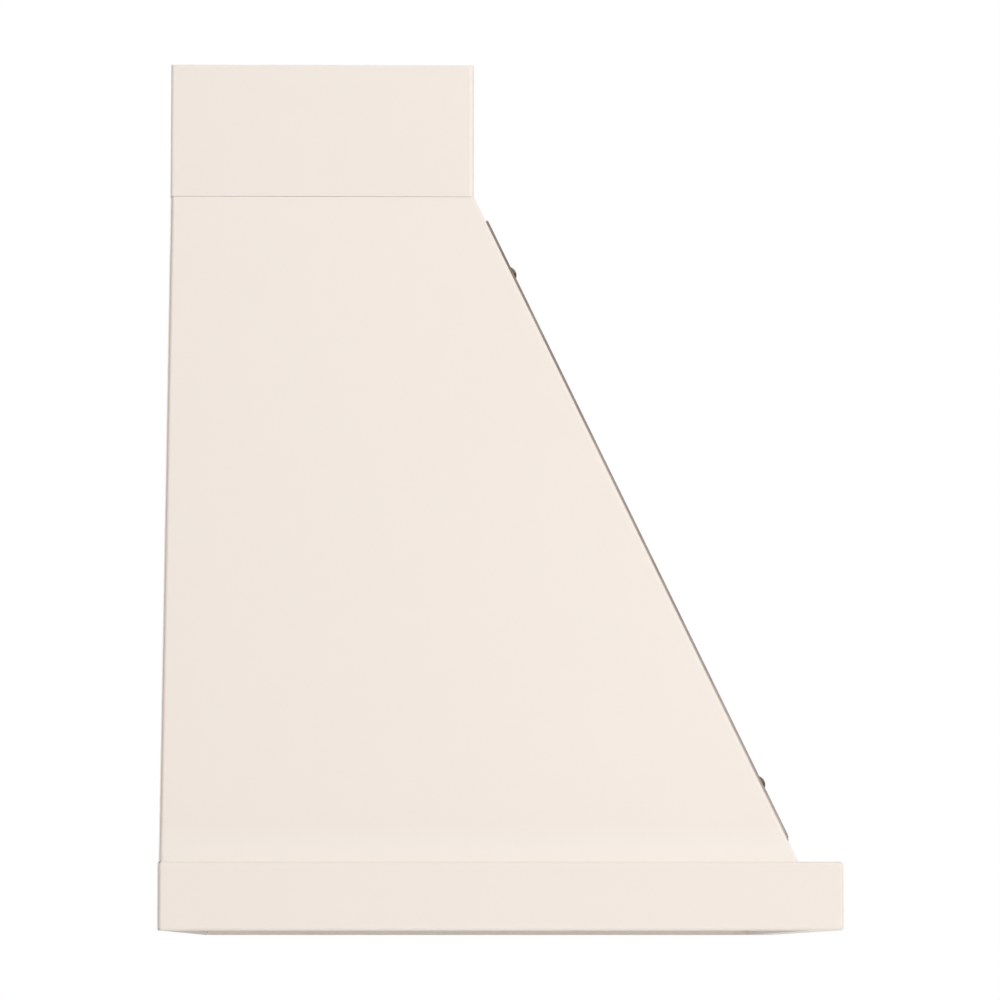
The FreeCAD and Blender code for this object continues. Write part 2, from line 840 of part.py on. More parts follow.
# Chimney cover, open at the top, and the wall bracket that holds its return flanges
def build_chimney():
    low = body_top + d.shadow_gap
    inner_half = top_half - d.sheet
    outer = block((-top_half, -d.chimney_depth, low), (top_half, 0, hood_top))
    inner = block(
        (-inner_half, d.sheet - d.chimney_depth, low - d.overrun),
        (inner_half, -d.sheet, hood_top + d.overrun))

    def front_corner(edge):
        return upright(edge) and edge.CenterOfMass.y < d.chimney_depth.value / 2

    def back_corner(edge):
        return upright(edge) and edge.CenterOfMass.y > d.chimney_depth.value / 2

    for body, inset in ((outer, 0), (inner, d.sheet)):
        rounded(body, d.chimney_bend - inset, front_corner)
        rounded(body, d.bend_radius - inset, back_corner)
    back = box(
        (d.return_flange - top_half, -d.sheet - d.overrun, low - d.overrun),
        (top_half - d.return_flange, d.overrun, hood_top + d.overrun))
    node("chimney_cover", cut(outer, inner, back))
    low = hood_top - d.bracket_drop - d.bracket_height
    high = hood_top - d.bracket_drop
    wide = inner_half - d.bend_radius
    flat = top_half - d.return_flange - d.bend_radius
    hook_back = -d.sheet
    hook_front = -d.sheet - d.bracket_sheet
    pieces = [box((-flat, -d.bracket_sheet, low), (flat, 0, high))]
    holes = []
    for side in SIDES.values():
        start, end = ordered(side * (flat - d.bracket_ear / 2), side * wide)
        pieces.append(box((start, hook_front, low), (end, hook_back, high)))
        start, end = ordered(side * (wide - d.bracket_sheet), side * wide)
        pieces.append(box((start, hook_back - d.bracket_ear, low), (end, hook_back, high)))
        holes.append(cylinder(
            "Y", (side * d.bracket_hole_span / 2, (low + high) / 2), -d.bracket_sheet - d.overrun, d.overrun,
            d.bracket_hole_radius))
    node("chimney_bracket", cut(fuse(*pieces), *holes))


# Stainless liner with filter openings, pivot ears, lamp holes and control opening
filter_width = (2 * (rim_inner - d.filter_side) - 2 * d.filter_mullion) / 3
filter_pitch = filter_width + d.filter_mullion
filter_back = -d.filter_rear
filter_front = d.front_shelf - d.hood_depth
filter_top = liner_level + d.filter_height
pivot_place = (filter_back - d.pivot_setback, liner_level + d.pivot_rise)
baffle_pitch = (filter_width - 2 * d.baffle_margin) / (LOWER_BAFFLES - 1)
lane = filter_front - d.filter_gap - d.catch_foot - d.lead_lane
lamp_place = (lane + d.seat_flange - rim_front) / 2
lamp_rim = (lane - d.seat_flange + rim_front) / 2 - d.lamp_clearance
lamp_hole = lamp_rim - d.lamp_flange


def build_liner():
    wide = rim_inner - d.seat_gap
    front = rim_front - d.seat_gap
    back = 2 * d.sheet + d.seat_gap
    pan_top = liner_level + d.liner_upstand
    pan = box((-wide, -front, liner_level), (wide, -back, pan_top))
    hollow = box(
        (d.liner_sheet - wide, d.liner_sheet - front, liner_top),
        (wide - d.liner_sheet, -back - d.liner_sheet, pan_top + d.overrun))
    ears = []
    openings = []
    for place in FILTERS.values():
        reach = filter_width / 2 + d.filter_gap
        middle = place * filter_pitch
        openings.append(box(
            (middle - reach, filter_front - d.filter_gap, liner_level - d.overrun),
            (middle + reach, filter_back + d.filter_rear_gap, liner_top + d.overrun)))
        for low in (middle - reach - d.ear_sheet, middle + reach):
            ears.append(box(
                (low, pivot_place[0] - d.ear_width / 2, liner_level),
                (low + d.ear_sheet, pivot_place[0] + d.ear_width / 2, liner_level + d.ear_height)))
    pivot_span = filter_pitch + filter_width / 2 + d.filter_gap + 2 * d.ear_sheet
    pivots = cylinder("X", pivot_place, -pivot_span, pivot_span, d.pivot_radius + d.pivot_fit)
    lamps = [
        cylinder("Z", (side * d.lamp_spread, lamp_place), liner_level - d.overrun, liner_top + d.overrun,
                 lamp_hole)
        for side in SIDES.values()
    ]
    switch_half = d.switch_width / 2 + d.seat_gap
    switch_reach = d.switch_depth / 2 + d.seat_gap
    switch = box(
        (-switch_half, lamp_place - switch_reach, liner_level - d.overrun),
        (switch_half, lamp_place + switch_reach, liner_top + d.overrun))
    screw_places = rim_screw_places + rail_screw_places
    holes = [screw_hole(place, liner_level, liner_top) for place in screw_places]
    plate = cut(pan, hollow, *openings, *lamps, switch, *holes)
    node("liner_pan", fuse(plate, *[cut(ear, pivots) for ear in ears]))
    node("liner_screws", group([
        screw(place, liner_level - d.sheet, up=True) for place in screw_places]))


# Baffle filters: frame with pivot pins, two rows of baffles, a handle and a spring catch
def build_filter_frame(name, middle):
    reach = filter_width / 2
    outer = box((middle - reach, filter_front, liner_level), (middle + reach, filter_back, filter_top))
    groove = box(
        (middle - reach + d.filter_sheet, filter_front + d.filter_sheet, liner_level + d.filter_sheet),
        (middle + reach - d.filter_sheet, filter_back - d.filter_sheet, filter_top - d.filter_sheet))
    window = box(
        (middle - reach + d.filter_lip, filter_front + d.filter_front_lip, liner_level - d.overrun),
        (middle + reach - d.filter_lip, filter_back - d.filter_lip, filter_top + d.overrun))
    pins = [
        cylinder("X", pivot_place, low, low + d.pivot_reach + d.filter_sheet, d.pivot_radius)
        for low in (middle - reach - d.pivot_reach, middle + reach - d.filter_sheet)
    ]
    node(f"filter_frame_{name}", fuse(cut(outer, groove, window), *pins))


def channel_outline(centre, seat, sign):
    """A flared channel that stands on its seat, or hangs from it where sign is -1."""
    foot = d.baffle_width / 2 - d.baffle_flare
    rim = d.baffle_width / 2
    inner = d.baffle_sheet
    height = sign * d.baffle_height
    return [
        (centre - foot, seat), (centre + foot, seat), (centre + rim, seat + height),
        (centre + rim - inner, seat + height), (centre + foot - inner, seat + sign * inner),
        (centre - foot + inner, seat + sign * inner), (centre - rim + inner, seat + height),
        (centre - rim, seat + height),
    ]


def build_baffles(name, middle):
    low = filter_front + d.filter_front_lip - d.baffle_hold
    high = filter_back - d.filter_sheet - d.seat_gap
    first = middle - (LOWER_BAFFLES - 1) / 2 * baffle_pitch
    pieces = []
    for index in range(LOWER_BAFFLES):
        centre = first + index * baffle_pitch
        pieces.append(prism("Y", channel_outline(centre, liner_level + d.filter_sheet, 1), low, high))
    for index in range(LOWER_BAFFLES - 1):
        centre = first + (2 * index + 1) / 2 * baffle_pitch
        pieces.append(prism("Y", channel_outline(centre, filter_top - d.filter_sheet, -1), low, high))
    node(f"filter_baffles_{name}", group(pieces))


def rod_along(points, radius, bend):
    """A round rod along straight runs joined by tangent arcs of one bend."""
    corners = [FreeCAD.Vector(*[as_size(size).value for size in point]) for point in points]
    edges = []
    start = corners[0]
    for before, corner, after in zip(corners, corners[1:], corners[2:]):
        inward = (before - corner).normalize()
        outward = (after - corner).normalize()
        half_angle = inward.getAngle(outward) / 2
        trim = bend.value / math.tan(half_angle)
        bisector = (inward + outward).normalize()
        apex = corner + bisector * (bend.value / math.sin(half_angle) - bend.value)
        edges.append(Part.LineSegment(start, corner + inward * trim).toShape())
        edges.append(Part.Arc(corner + inward * trim, apex, corner + outward * trim).toShape())
        start = corner + outward * trim
    edges.append(Part.LineSegment(start, corners[-1]).toShape())
    section = Part.Wire(Part.makeCircle(radius.value, corners[0], corners[1] - corners[0]))
    piece = doc.addObject("Part::Feature", "rod")
    piece.Shape = Part.Wire(edges).makePipeShell([section], True, True)
    return piece


def build_filter_handle(name, middle):
    place = filter_front + d.handle_setback
    low = liner_level - d.handle_drop
    left = middle - d.handle_span / 2
    right = middle + d.handle_span / 2
    route = [
        (left, place, liner_level), (left, place, low), (right, place, low), (right, place, liner_level)]
    node(f"filter_handle_{name}", rod_along(route, d.handle_radius, d.handle_bend))


def build_filter_catches():
    """Bent leaf springs on the liner, each with a bead that presses on a filter's front wall."""
    pieces = []
    front = filter_front - d.filter_gap
    for place in FILTERS.values():
        foot = front - d.catch_foot
        leaf = front - d.catch_sheet
        bead = liner_top + d.catch_height * BEAD_SHARE
        outline = [
            (foot, liner_top), (front, liner_top), (front, bead - d.catch_bead),
            (front + d.catch_bead, bead), (front, bead + d.catch_bead), (front, liner_top + d.catch_height),
            (leaf, liner_top + d.catch_height), (leaf, liner_top + d.catch_sheet),
            (foot, liner_top + d.catch_sheet),
        ]
        middle = place * filter_pitch
        pieces.append(prism("X", outline, middle - d.catch_width / 2, middle + d.catch_width / 2))
    node("filter_catches", group(pieces))


def build_filters():
    for name, place in FILTERS.items():
        middle = place * filter_pitch
        build_filter_frame(name, middle)
        build_baffles(name, middle)
        build_filter_handle(name, middle)
    build_filter_catches()


# Lamps: bezel, lens and finned body
def build_lamp(name, place):
    sleeve = lamp_hole - d.seat_gap
    bore = sleeve - d.lamp_wall
    rim = lamp_rim
    low = -d.lamp_flange_thickness
    seat = low + d.lens_lip_thickness
    node(f"lamp_bezel_{name}", turned("Z", place, liner_level, [
        (bore - d.lens_lip, low), (rim - d.lamp_flange_thickness, low), (rim, 0), (sleeve, 0),
        (sleeve, d.lamp_sleeve), (bore, d.lamp_sleeve), (bore, seat), (bore - d.lens_lip, seat),
    ]))
    lens_edge = bore - d.close_fit
    lens_top = seat + d.lens_thickness
    node(f"lamp_lens_{name}", turned("Z", place, liner_level, [
        (0, seat), (lens_edge, seat), (lens_edge, lens_top), (0, lens_top),
    ]))
    level = d.lamp_sleeve + d.fin_thickness
    skirt = sleeve + d.close_fit
    profile = [
        (0, lens_top), (lens_edge, lens_top), (lens_edge, d.lamp_sleeve), (skirt, d.lamp_sleeve),
        (skirt, d.liner_sheet), (rim, d.liner_sheet), (rim, level),
    ]
    for _ in range(LAMP_FINS):
        gap_top = level + d.fin_pitch - d.fin_thickness
        profile += [(FIN_CORE_SHARE * bore, level), (FIN_CORE_SHARE * bore, gap_top)]
        level = level + d.fin_pitch
        profile += [(bore, gap_top), (bore, level)]
    profile.append((0, level))
    node(f"lamp_body_{name}", turned("Z", place, liner_level, profile))


# Control plate, switch block and push buttons
def build_controls():
    button_hole = d.button_radius + d.button_fit
    places = {name: (place * d.button_pitch, lamp_place) for name, place in BUTTONS.items()}
    plate_low = liner_level - d.plate_sheet
    plate = rounded(block(
        (-d.plate_width / 2, lamp_place - d.plate_depth / 2, plate_low),
        (d.plate_width / 2, lamp_place + d.plate_depth / 2, liner_level)), d.plate_corner, upright)
    plate_holes = [
        cylinder("Z", place, plate_low - d.overrun, liner_level + d.overrun, button_hole)
        for place in places.values()
    ]
    node("control_plate", cut(plate, *plate_holes))
    switch_top = liner_level + d.switch_height
    switch = rounded(block(
        (-d.switch_width / 2, lamp_place - d.switch_depth / 2, liner_level),
        (d.switch_width / 2, lamp_place + d.switch_depth / 2, switch_top)), d.switch_corner, upright)
    bores = [
        cylinder("Z", place, liner_level - d.overrun, liner_level + d.switch_bore,
                 d.button_flange + d.button_fit)
        for place in places.values()
    ]
    node("switch_block", cut(switch, *bores))
    low = -d.plate_sheet - d.button_proud
    crown = d.button_radius - d.button_crown
    for name, place in places.items():
        node(f"button_{name}", turned("Z", place, liner_level, [
            (0, low), (crown, low), (d.button_radius, low + d.button_crown, d.button_crown, "left"),
            (d.button_radius, 0), (d.button_flange, 0),
            (d.button_flange, d.button_flange_thickness), (0, d.button_flange_thickness),
        ]))


# Duct collar with a rest lip, and two damper flaps on one rod
def build_damper():
    bore = d.collar_radius - d.collar_wall
    rim = d.collar_radius + d.collar_flange
    lip_top = d.damper_level - d.damper_sheet / 2 - d.damper_rest
    lip_low = lip_top - d.damper_lip
    collar = turned("Z", (0, duct_place), deck_top, [
        (bore, 0), (rim, 0), (rim, d.collar_wall), (d.collar_radius, d.collar_wall),
        (d.collar_radius, d.collar_height), (bore, d.collar_height), (bore, lip_top),
        (bore - d.damper_lip, lip_top), (bore, lip_low),
    ])
    level = deck_top + d.damper_level
    rod_hole = cylinder("Y", (0, level), duct_place - rim, duct_place + rim, d.rod_radius)
    flap_bore = cylinder("Y", (0, level), duct_place - rim, duct_place + rim, d.rod_radius + d.rod_fit)
    holes = [screw_hole(place, deck_top, deck_top + d.collar_wall) for place in collar_screw_places]
    node("duct_collar", cut(collar, rod_hole, *holes))
    rod_end = d.collar_radius - d.seat_gap
    node("damper_rod", cylinder(
        "Y", (0, level), duct_place - rod_end, duct_place + rod_end, d.rod_radius))
    knuckle = d.rod_radius + d.rod_fit + d.knuckle_wall
    edge = knuckle + d.flap_gap
    flap_radius = bore - d.damper_gap
    flap_half = root(square(flap_radius) - square(edge))
    for name, side in SIDES.items():
        leaf = prism("Z", [
            (side * edge, -flap_half),
            (side * edge, flap_half, flap_radius, "left" if side > 0 else "right"),
        ], level - d.damper_sheet / 2, level + d.damper_sheet / 2, (0, duct_place))
        pieces = [leaf]
        low, high = ordered(0, side * (edge + d.flap_gap))
        for share in KNUCKLE_SHARES:
            start = duct_place + side * share * d.knuckle_pitch - d.knuckle_length / 2
            end = start + d.knuckle_length
            pieces.append(cylinder("Y", (0, level), start, end, knuckle))
            pieces.append(box(
                (low, start, level - d.damper_sheet / 2), (high, end, level + d.damper_sheet / 2)))
        node(f"damper_flap_{name}", cut(fuse(*pieces), flap_bore))


# Blower: scroll of four growing arcs, side plates with inlet lips, and the outlet transition
front_depth = depth_at(d.body_height - d.blower_drop - d.scroll_step / 2)
blower_room = front_depth - d.blower_clearance - d.blower_sheet
scroll_reach = (d.chimney_depth + d.tongue_offset) / 2 + SCROLL_STEPS_SHARE * d.scroll_step
scroll_radius = (blower_room - scroll_reach) / SCROLL_RADII_SHARE
fan_radius = scroll_radius - d.fan_clearance
fan_inner = fan_radius - d.blade_depth
inlet_radius = fan_inner - d.inlet_overlap
rear_wall = d.scroll_step / 2 + scroll_radius + 3 * d.scroll_step
blower_place = duct_place - (d.tongue_offset + rear_wall) / 2
neck_top = body_top - d.transition_height


def scroll_line(offset):
    """The scroll from the tongue round to the rear wall, grown outwards by an offset."""
    step = d.scroll_step / 2
    radii = [scroll_radius + count * d.scroll_step + offset for count in range(4)]
    tongue = d.tongue_offset - offset
    tongue_rise = step + root(square(radii[0]) - square(tongue + step))
    points = [
        (tongue, tongue_rise),
        (-step, step + radii[0], radii[0], "left"),
        (-step - radii[1], -step, radii[1], "left"),
        (step, -step - radii[2], radii[2], "left"),
        (step + radii[3], step, radii[3], "left"),
    ]
    return [(blower_place + point[0], blower_level + point[1], *point[2:]) for point in points]


def backwards(points):
    """The same line drawn the other way, so that its arcs turn right."""
    result = [points[-1][:2]]
    for point, before in zip(points[:0:-1], points[-2::-1]):
        result.append((*before[:2], point[2], "right"))
    return result


def build_scroll():
    inner = scroll_line(0)
    outer = scroll_line(d.blower_sheet)
    half_width = d.scroll_width / 2
    band = [(inner[0][0], neck_top), *inner, (inner[-1][0], neck_top)]
    band += [(outer[-1][0], neck_top), *backwards(outer), (outer[0][0], neck_top)]
    node("scroll_wrap", prism("X", band, -half_width, half_width))
    plate_line = [(outer[0][0], neck_top), *outer, (outer[-1][0], neck_top)]
    axis = (blower_place, blower_level)
    outer_edge = inlet_radius + d.inlet_lip
    for name, side in SIDES.items():
        seat = side * (half_width + d.blower_sheet)
        low, high = ordered(side * half_width, seat)
        plate = prism("X", plate_line, low, high)
        hole = cylinder("X", axis, low - d.overrun, high + d.overrun, outer_edge)
        turns = ("left", "right") if side > 0 else ("right", "left")
        lip = turned("X", axis, seat, [
            (outer_edge, 0),
            (inlet_radius, -side * d.inlet_lip, d.inlet_lip, turns[0]),
            (inlet_radius + d.blower_sheet, -side * d.inlet_lip),
            (outer_edge, -side * d.blower_sheet, d.inlet_lip - d.blower_sheet, turns[1]),
        ])
        node(f"scroll_side_{name}", fuse(cut(plate, hole), lip))


def rectangle(low_x, low_y, high_x, high_y):
    return [(low_x, low_y), (high_x, low_y), (high_x, high_y), (low_x, high_y)]


def round_outline(radius):
    share = CORNER_SHARE * radius
    corners = rectangle(-share, -share, share, share)
    return [(*corner, radius, "left") for corner in corners]


def loft(lower, upper, length):
    body = new_body("loft")
    feature = body.newObject("PartDesign::AdditiveLoft", "loft")
    feature.Profile = new_sketch(body, "XY_Plane", lower)
    feature.Sections = [new_sketch(body, "XY_Plane", upper, level=length)]
    feature.Ruled = True
    doc.recompute()
    return body


def build_transition():
    half_neck = (rear_wall - d.tongue_offset) / 2
    half_width = d.scroll_width / 2
    bore = d.collar_radius - d.collar_wall
    skins = []
    for offset in (d.blower_sheet, 0):
        wide = half_width + offset
        deep = half_neck + offset
        skin = loft(rectangle(-wide, -deep, wide, deep), round_outline(bore + offset), d.transition_height)
        skins.append(put(skin, (0, duct_place, neck_top)))
    rim = cylinder(
        "Z", (0, duct_place), body_top - d.blower_sheet, body_top, d.collar_radius + d.collar_flange)
    holes = [screw_hole(place, body_top - d.blower_sheet, body_top) for place in collar_screw_places]
    node("outlet_transition", cut(fuse(skins[0], rim), skins[1], *holes))


# Double-inlet impeller on the motor shaft
def build_impeller():
    half_length = d.fan_length / 2
    hub = [
        (d.shaft_radius, -d.hub_length / 2), (d.hub_radius, -d.hub_length / 2),
        (d.hub_radius, -d.fan_disc / 2), (fan_inner + d.fan_disc_reach, -d.fan_disc / 2),
        (fan_inner + d.fan_disc_reach, d.fan_disc / 2), (d.hub_radius, d.fan_disc / 2),
        (d.hub_radius, d.hub_length / 2), (d.shaft_radius, d.hub_length / 2),
    ]
    rings = [
        rectangle(fan_inner + d.fan_disc_reach, low, fan_radius, low + d.fan_ring)
        for low in (-half_length, half_length - d.fan_ring)
    ]
    body = revolved(hub, *rings)
    tip_radius = fan_radius - d.blade_inset
    tip = (math.cos(BLADE_SWEEP) * tip_radius, math.sin(BLADE_SWEEP) * tip_radius)
    blade = [
        (fan_inner, -d.blade_sheet / 2),
        (tip[0], tip[1] - d.blade_sheet / 2, d.blade_curve, "left"),
        (tip[0], tip[1] + d.blade_sheet / 2),
        (fan_inner, d.blade_sheet / 2, d.blade_curve, "right"),
    ]
    polar_pattern(body, blade, -half_length, half_length, d.blade_count)
    node("impeller", put(body, (0, blower_place, blower_level), TURNS["X"]))
    node("motor_shaft", cylinder(
        "X", (blower_place, blower_level), -d.hub_length / 2, d.motor_front + d.shaft_grip, d.shaft_radius))


# Motor, its three-armed bracket and the run capacitor
def build_motor():
    seat = d.scroll_width / 2 + d.blower_sheet
    front = d.motor_front
    back = seat + d.spider_sheet + d.motor_tail
    bore_end = front + d.shaft_grip + d.shaft_end_gap
    bore = d.shaft_radius + d.shaft_fit
    edge = d.motor_edge
    axis = (blower_place, blower_level)
    node("motor_body", turned("X", axis, 0, [
        (bore, front), (d.motor_radius - edge, front), (d.motor_radius, front + edge, edge, "left"),
        (d.motor_radius, back - edge), (d.motor_radius - edge, back, edge, "left"), (0, back),
        (0, bore_end), (bore, bore_end),
    ]))
    spider = revolved(rectangle(d.motor_radius, 0, d.motor_radius + d.spider_ring, d.spider_sheet))
    arm = rectangle(
        d.motor_radius + d.spider_ring / 2, -d.spider_arm / 2,
        inlet_radius + d.inlet_lip + d.spider_foot, d.spider_arm / 2)
    polar_pattern(spider, arm, 0, d.spider_sheet, d.spider_arms)
    node("motor_bracket", put(spider, (seat, *axis), TURNS["X"]))
    capacitor_place = (duct_place, neck_top - d.capacitor_radius - d.spider_sheet)
    capacitor = turned("X", capacitor_place, seat, [
        (0, 0), (d.capacitor_radius, 0), (d.capacitor_radius, d.capacitor_length - d.capacitor_edge),
        (d.capacitor_radius - d.capacitor_edge, d.capacitor_length, d.capacitor_edge, "left"),
        (0, d.capacitor_length),
    ])
    node("capacitor", capacitor)


# Terminal box on the back panel, cable gland in the deck, and the leads held inside
def build_wiring():
    wall = d.terminal_wall
    low = (d.terminal_side, -d.sheet - d.terminal_depth, terminal_level)
    high = (d.terminal_side + d.terminal_width, -d.sheet, terminal_level + d.terminal_height)
    inner_low = (low[0] + wall, low[1] - d.overrun, low[2] + wall)
    inner_high = (high[0] - wall, high[1] - wall, high[2] - wall)

    def deep(edge):
        return edge.BoundBox.YLength > edge.BoundBox.XLength + edge.BoundBox.ZLength

    case = rounded(block(low, high), d.terminal_corner, deep)
    node("terminal_box", cut(case, box(inner_low, inner_high)))
    lid = block((low[0], low[1] - wall, low[2]), (high[0], low[1], high[2]))
    node("terminal_lid", rounded(lid, d.terminal_corner, deep))
    node("cable_gland", turned("Z", (d.gland_side, -d.gland_depth), deck_top, [
        (d.gland_bore, -d.deck_sheet - d.gland_nut), (d.gland_collar, -d.deck_sheet - d.gland_nut),
        (d.gland_collar, -d.deck_sheet), (d.gland_radius, -d.deck_sheet), (d.gland_radius, 0),
        (d.gland_collar, 0), (d.gland_collar, d.gland_collar_thickness),
        (d.gland_radius, d.gland_height), (d.gland_bore, d.gland_height),
    ]))
    lead = d.lead_radius
    seat = d.scroll_width / 2 + d.blower_sheet + d.spider_sheet + d.motor_tail
    turn = seat + 2 * d.lead_bend
    middle = (low[1] + high[1]) / 2
    box_middle = low[2] + d.terminal_height / 2
    node("motor_lead", rod_along([
        (seat, blower_place, blower_level), (turn, blower_place, blower_level),
        (turn, middle, box_middle), (low[0], middle, box_middle),
    ], lead, d.lead_bend))
    rest = liner_top + lead
    lead_side = rim_inner - d.lead_margin
    riser = low[0] + d.terminal_width / 2
    node("control_lead", rod_along([
        (d.lead_start, lamp_place + d.switch_depth / 2, rest), (d.lead_start, lane, rest),
        (lead_side, lane, rest), (lead_side, -d.lead_back, rest),
        (lead_side, -d.lead_back, d.lead_rise), (riser, -d.lead_back, d.lead_rise),
        (riser, -d.lead_back, terminal_level),
    ], lead, d.lead_bend))
    lamp_leads = []
    for side in SIDES.values():
        start, end = ordered(side * d.switch_width / 2, side * (d.lamp_spread - lamp_rim))
        lamp_leads.append(cylinder("X", (lamp_place, rest), start, end, lead))
    node("lamp_leads", group(lamp_leads))


build_back_panel()
build_skirt()
build_rear_rail()
build_body_panels()
build_straps()
build_top_deck()
build_chimney()
build_liner()
build_filters()
for lamp_name, lamp_side in SIDES.items():
    build_lamp(lamp_name, (lamp_side * d.lamp_spread, lamp_place))
build_controls()
build_damper()
build_scroll()
build_transition()
build_impeller()
build_motor()
build_wiring()

doc.recompute()
failed = [item.Name for item in doc.Objects if {"Invalid", "Error"} & set(item.State)]
failed += [item.Label for item in nodes if item.Shape.isNull() or not item.Shape.isValid()]
if failed:
    raise SystemExit(f"not built: {failed}")
os.makedirs("parts", exist_ok=True)
for item in nodes:
    item.Shape.exportStep(f"parts/{item.Label}.step")
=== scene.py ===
"""Looks of the wall-hung range hood, in metres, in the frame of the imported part."""
import json
import math

import bmesh
import bpy
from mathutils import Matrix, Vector


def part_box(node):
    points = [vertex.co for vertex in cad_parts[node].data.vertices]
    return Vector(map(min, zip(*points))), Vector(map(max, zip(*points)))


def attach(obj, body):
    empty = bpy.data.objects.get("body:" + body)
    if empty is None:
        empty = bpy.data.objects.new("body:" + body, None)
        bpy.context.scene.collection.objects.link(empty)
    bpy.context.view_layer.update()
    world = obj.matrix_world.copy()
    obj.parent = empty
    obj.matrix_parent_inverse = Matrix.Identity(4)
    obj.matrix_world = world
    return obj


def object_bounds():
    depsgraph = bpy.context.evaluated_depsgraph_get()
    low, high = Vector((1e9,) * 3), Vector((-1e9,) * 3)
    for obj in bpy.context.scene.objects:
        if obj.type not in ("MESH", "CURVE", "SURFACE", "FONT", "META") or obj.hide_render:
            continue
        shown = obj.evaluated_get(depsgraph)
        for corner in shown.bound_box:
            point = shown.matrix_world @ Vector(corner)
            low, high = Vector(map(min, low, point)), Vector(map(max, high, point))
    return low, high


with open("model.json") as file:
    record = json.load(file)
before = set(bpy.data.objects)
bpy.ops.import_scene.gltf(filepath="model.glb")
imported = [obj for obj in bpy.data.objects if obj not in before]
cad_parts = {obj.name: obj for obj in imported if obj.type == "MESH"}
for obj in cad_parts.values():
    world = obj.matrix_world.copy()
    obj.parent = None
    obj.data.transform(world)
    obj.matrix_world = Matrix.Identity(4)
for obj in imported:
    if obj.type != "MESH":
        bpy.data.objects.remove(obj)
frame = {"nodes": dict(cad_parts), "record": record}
cad_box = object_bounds()
nodes = frame["nodes"]
slot_of = {entry["node"]: entry["material_slot"] for entry in frame["record"]["subparts"]}

# Camera
CAMERA_PLACE = Vector((-4.7, -0.2436, -0.0228))
CAMERA_YAW = math.radians(-0.754)
CAMERA_PITCH = math.radians(5.387)
FOCAL_SHARE = 4.8426
SENSOR_WIDTH = 36.0

# Floor
FLOOR_LEVEL = -0.9
FLOOR_REACH = 14.0
FLOOR_TONE = (0.86, 0.86, 0.86)
FLOOR_SHOWN_TONE = (0.5, 0.5, 0.5)
FLOOR_GLOW = 0.62

# World: its strength as a lamp, and the shares of it that come from the wall's side and from the front
WHITE = (1.0, 1.0, 1.0)
WORLD_STRENGTH = 0.6
WALL_SIDE_SHARE = 0.7
WALL_SIDE_SPAN = (0.0, 0.5)
FRONT_SIDE_SHARE = 0.7
FRONT_SIDE_SPAN = (-1.0, -0.3)

# Lamps
KEY_PLACE = (-5.6, -3.0, 3.2)
KEY_SIZE = 4.0
KEY_POWER = 236.0
BOUNCE_LIFT = 0.02
BOUNCE_PLACE = (-0.3, -0.3, FLOOR_LEVEL + BOUNCE_LIFT)
BOUNCE_AIM = (0.0, -0.3, 0.0)
BOUNCE_SIZE = 1.4
BOUNCE_POWER = 3.6

# Mix node: places of its colour sockets
MIX_FIRST = 6
MIX_SECOND = 7
MIX_RESULT = 2

# Noise: levels of detail, and the span in which most of its values lie
SMOOTH = 2.0
PLAIN = 3.0
FINE = 4.0
RICH = 5.0
MOTTLED = 6.0
NOISE_SPAN = (0.3, 0.7)

# Shares that rise or fall, and a pattern that isn't stretched
RISING = (0.0, 1.0)
FALLING = (1.0, 0.0)
EVEN = (1.0, 1.0, 1.0)

# Paint: along the foot of the side panels the tone is painted paler, painted bounce light from the
# skirt's ledge
PAINT_TONES = ((0.83, 0.752, 0.682), (0.85, 0.774, 0.704))
PAINT_DRIFT = 2.2
PAINT_ROUGHNESS = (0.42, 0.5)
PAINT_ROUGHNESS_SCALE = 40.0
PAINT_GLOSS = 0.35
PEEL_SCALE = 620.0
PEEL_DEPTH = 0.00004
PEEL_STRENGTH = 0.35
SIDE_PANELS = ("left_side_panel", "right_side_panel")
PANEL_FOOT = 0.06
FOOT_REACH = 0.035
PAINTED_BOUNCE_TONE = (0.869, 0.809, 0.752)

# Bronze: the levels of the straps' foot and head, the way their faces look and the way they rise.
# Surfaces that look up or down that rise take the end tone, but for a band about the glint's lean: on
# the straps' ends this is painted light, on the rivets' domes a painted reflection, dark above and below
# a painted glint.
STRAP_FOOT = 0.08
STRAP_HEAD = 0.6
STRAP_FACE = (0.0, -0.906, 0.423)
STRAP_RISE = (0.0, 0.423, 0.906)
STRAP_FACE_TONES = ((0.16, 0.11, 0.085), (0.3, 0.215, 0.17))
STRAP_PAINTED_LIGHT_TONE = (0.5, 0.44, 0.4)
STRAP_METAL_SHARE = 1.0
# Rivets: a painted reflection, dark above and below on the dome, with a painted glint across the middle
RIVET_FACE_TONES = ((0.13, 0.09, 0.065), (0.22, 0.16, 0.12))
RIVET_PAINTED_SHADE_TONE = (0.02, 0.014, 0.01)
RIVET_METAL_SHARE = 0.4
UPPER_EDGE_TONES = ((0.185, 0.155, 0.132), (0.27, 0.232, 0.2))
LOWER_EDGE_TONES = ((0.29, 0.25, 0.225), (0.37, 0.328, 0.3))
FACE_SPAN = (0.3, 0.5)
END_SPAN = (0.2, 0.45)
PAINTED_GLINT_LEAN = 0.15
PATINA_SCALE = 38.0
RUB_SCALE = 90.0
RUB_STRETCH = (1.0, 0.12, 0.12)
BRONZE_ROUGHNESS = (0.3, 0.48)
BRONZE_GRAIN_SCALE = 420.0
BRONZE_GRAIN_DEPTH = 0.00005
BRONZE_GRAIN_STRENGTH = 0.4

# Zinc: the crystals, and the side edges that carry a mist of paint
SPANGLE_SCALE = 75.0
ZINC_TONES = ((0.47, 0.485, 0.5), (0.63, 0.645, 0.655))
ZINC_ROUGHNESS = (0.36, 0.56)
ZINC_WAVE_SCALE = 150.0
ZINC_WAVE_DEPTH = 0.00005
ZINC_WAVE_STRENGTH = 0.25
SIDEWAYS = (1.0, 0.0, 0.0)
SIDE_EDGE_SPAN = (0.5, 0.8)

